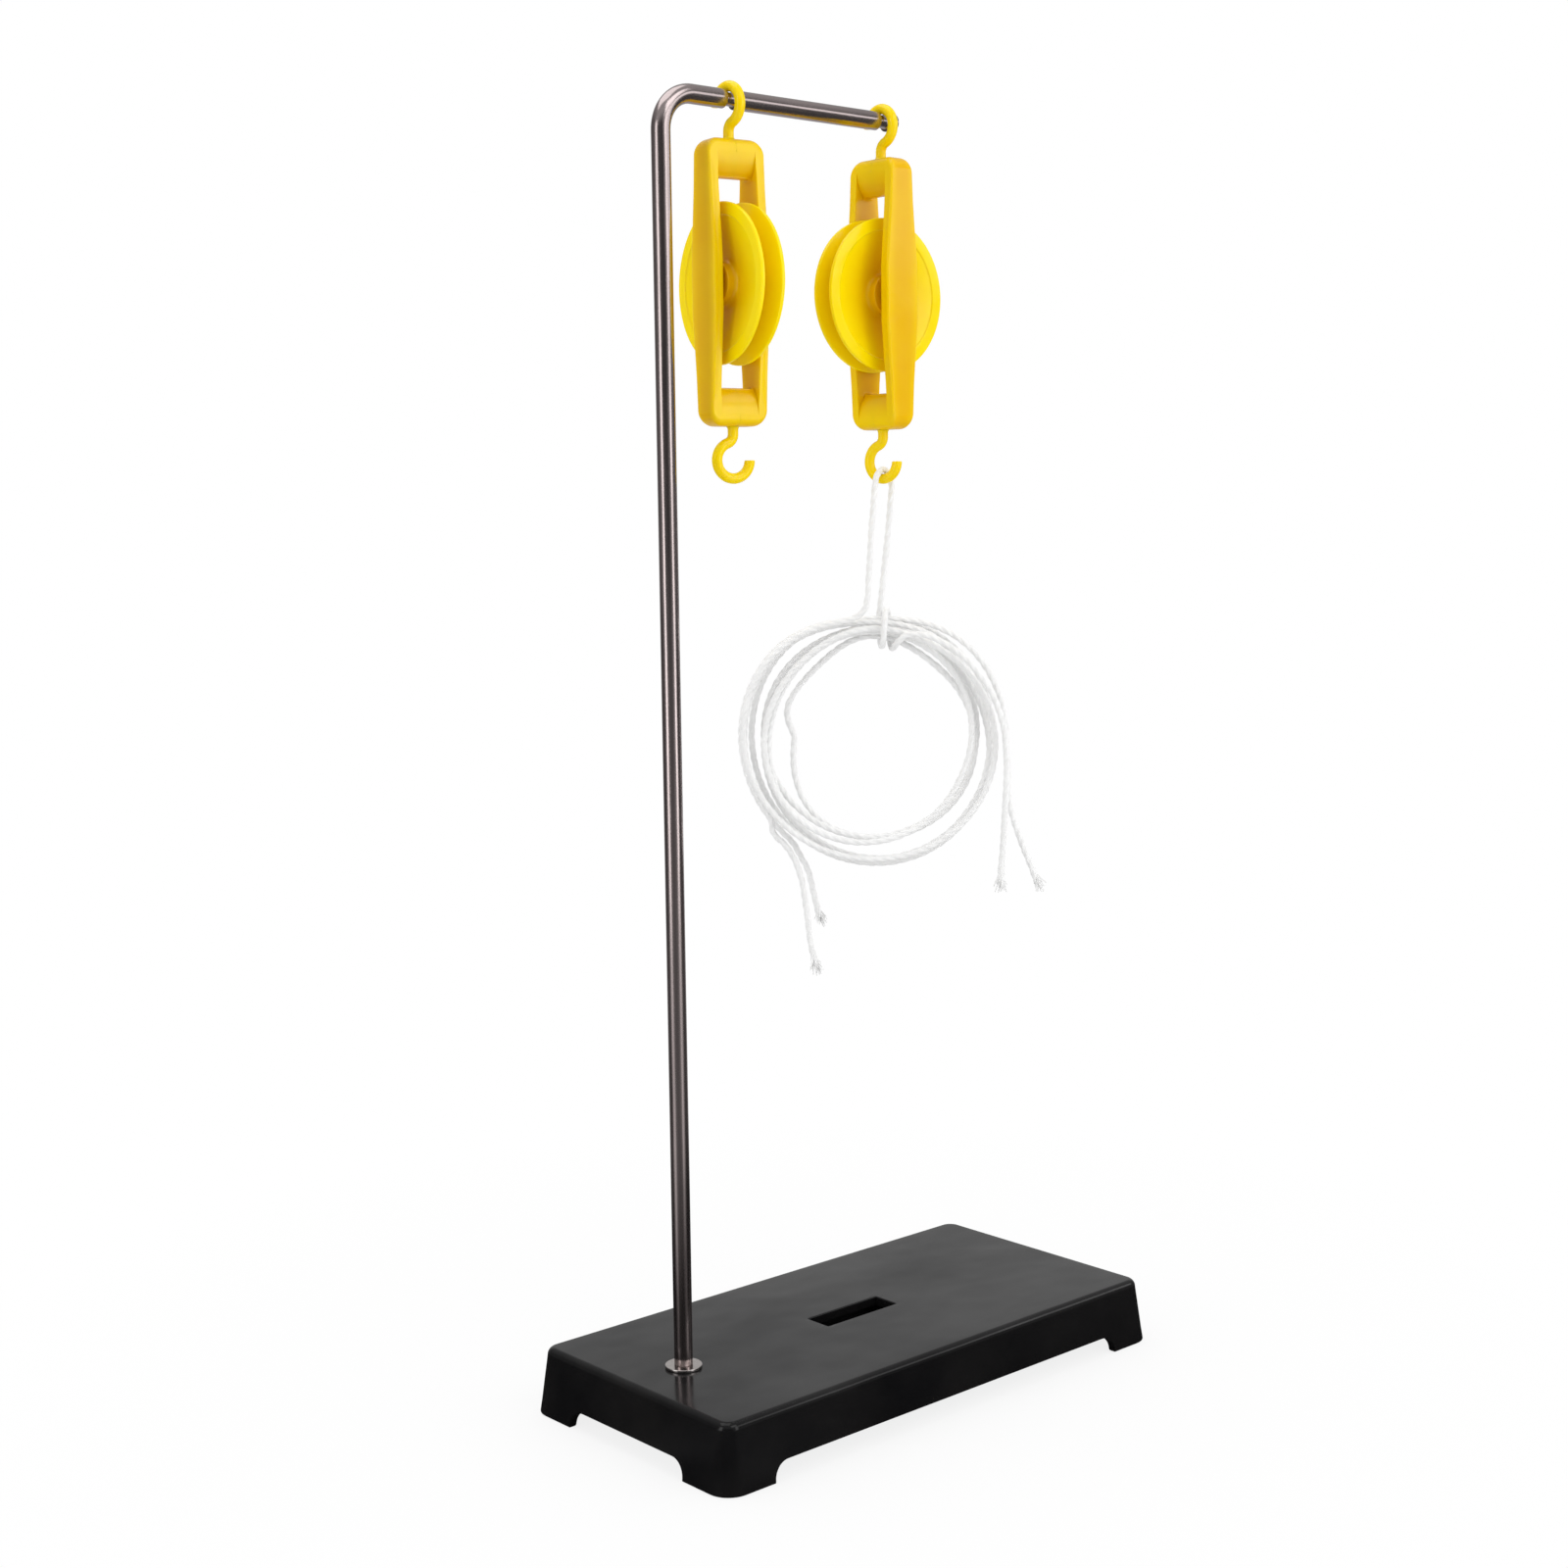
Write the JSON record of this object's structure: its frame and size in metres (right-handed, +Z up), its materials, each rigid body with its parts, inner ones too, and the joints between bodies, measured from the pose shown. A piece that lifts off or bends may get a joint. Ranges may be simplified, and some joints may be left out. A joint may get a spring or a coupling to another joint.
{
  "type": "pulley demonstrator",
  "caption": "Classroom pulley demonstrator: a bent steel rod on a moulded base carries hanging pulley blocks with grooved sheaves and swivelling hooks, and a coil of string.",
  "frame": {"origin": "middle of the base's footprint, on the surface that it stands on", "axes": "+Z up along the post, +X along the arm from the post, +Y across the base"},
  "size_m": [0.2, 0.1, 0.4276],
  "materials": {
    "base_plastic": "glossy moulded black plastic with faint scuffs",
    "rod_steel": "drawn stainless rod, fine lengthwise grain",
    "bright_steel": "bright zinc-plated steel",
    "yellow_plastic": "glossy translucent yellow moulded plastic",
    "axle_steel": "ground steel pin",
    "cotton_string": "white twisted cotton"
  },
  "bodies": {
    "stand": {"base": "base_plastic", "post": "rod_steel", "post_washer": "bright_steel", "under_washer": "bright_steel", "lock_washer": "bright_steel", "post_nut": "bright_steel"},
    "left_hanger": {"left_top_hook": "yellow_plastic"},
    "left_block": {"left_cheek_front": "yellow_plastic", "left_cheek_back": "yellow_plastic", "left_axle": "axle_steel"},
    "left_wheel": {"left_sheave": "yellow_plastic"},
    "left_load_hook": {"left_bottom_hook": "yellow_plastic"},
    "right_hanger": {"right_top_hook": "yellow_plastic"},
    "right_block": {"right_cheek_front": "yellow_plastic", "right_cheek_back": "yellow_plastic", "right_axle": "axle_steel"},
    "right_wheel": {"right_sheave": "yellow_plastic"},
    "right_load_hook": {"right_bottom_hook": "yellow_plastic", "string_1_short_end": "cotton_string", "string_1_coil": "cotton_string", "string_1_long_end": "cotton_string", "string_2_left_end": "cotton_string", "string_2_coil": "cotton_string", "string_2_right_end": "cotton_string"}
  },
  "joints": [
    {"name": "left_swing", "type": "hinge", "parent": "stand", "child": "left_hanger", "pos_m": [-0.048, 0, 0.422], "axis": [1, 0, 0], "range_deg": [-60, 60]},
    {"name": "left_swivel", "type": "hinge", "parent": "left_hanger", "child": "left_block", "pos_m": [-0.048, 0, 0.4098], "axis": [0, 0, 1], "range_deg": [-60, 78]},
    {"name": "left_spin", "type": "hinge", "parent": "left_block", "child": "left_wheel", "pos_m": [-0.048, 0, 0.3658], "axis": [0.9877, -0.1564, 0], "continuous": true},
    {"name": "left_hook_swivel", "type": "hinge", "parent": "left_block", "child": "left_load_hook", "pos_m": [-0.048, 0, 0.3218], "axis": [0, 0, 1], "continuous": true},
    {"name": "right_swing", "type": "hinge", "parent": "stand", "child": "right_hanger", "pos_m": [0.018, 0, 0.422], "axis": [1, 0, 0], "range_deg": [-60, 60]},
    {"name": "right_swivel", "type": "hinge", "parent": "right_hanger", "child": "right_block", "pos_m": [0.018, 0, 0.4098], "axis": [0, 0, 1], "continuous": true},
    {"name": "right_spin", "type": "hinge", "parent": "right_block", "child": "right_wheel", "pos_m": [0.018, 0, 0.3658], "axis": [0.0175, 0.9998, 0], "continuous": true},
    {"name": "right_hook_swivel", "type": "hinge", "parent": "right_block", "child": "right_load_hook", "pos_m": [0.018, 0, 0.3218], "axis": [0, 0, 1], "continuous": true}
  ]
}
